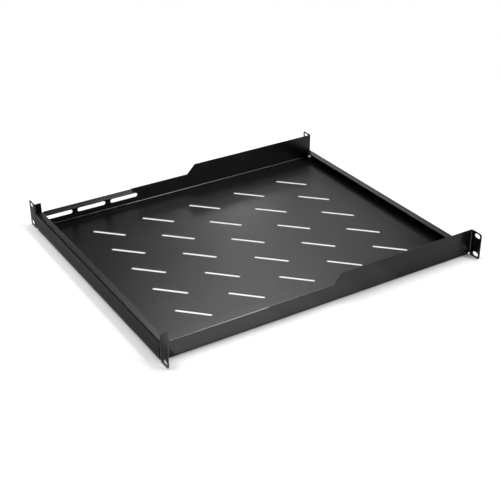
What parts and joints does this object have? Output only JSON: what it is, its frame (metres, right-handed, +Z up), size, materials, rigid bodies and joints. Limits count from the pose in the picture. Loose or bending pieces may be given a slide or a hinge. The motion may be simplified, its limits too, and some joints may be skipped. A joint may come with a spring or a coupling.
{
  "type": "rack shelf",
  "caption": "One-unit rack shelf folded from one sheet: slotted floor, low walls with turned-in lips, and slotted ears at front and rear.",
  "frame": {"origin": "middle of the floor's underside, which is the middle of the bottom of the bounding box", "axes": "+X to the right as seen from the front, +Y from the front ears to the rear ears, +Z up out of the tray"},
  "size_m": [0.4826, 0.5466, 0.044],
  "materials": {
    "black_powder_coat": "satin black powder coat"
  },
  "bodies": {
    "root": {"folded_shelf": "black_powder_coat"}
  },
  "joints": []
}
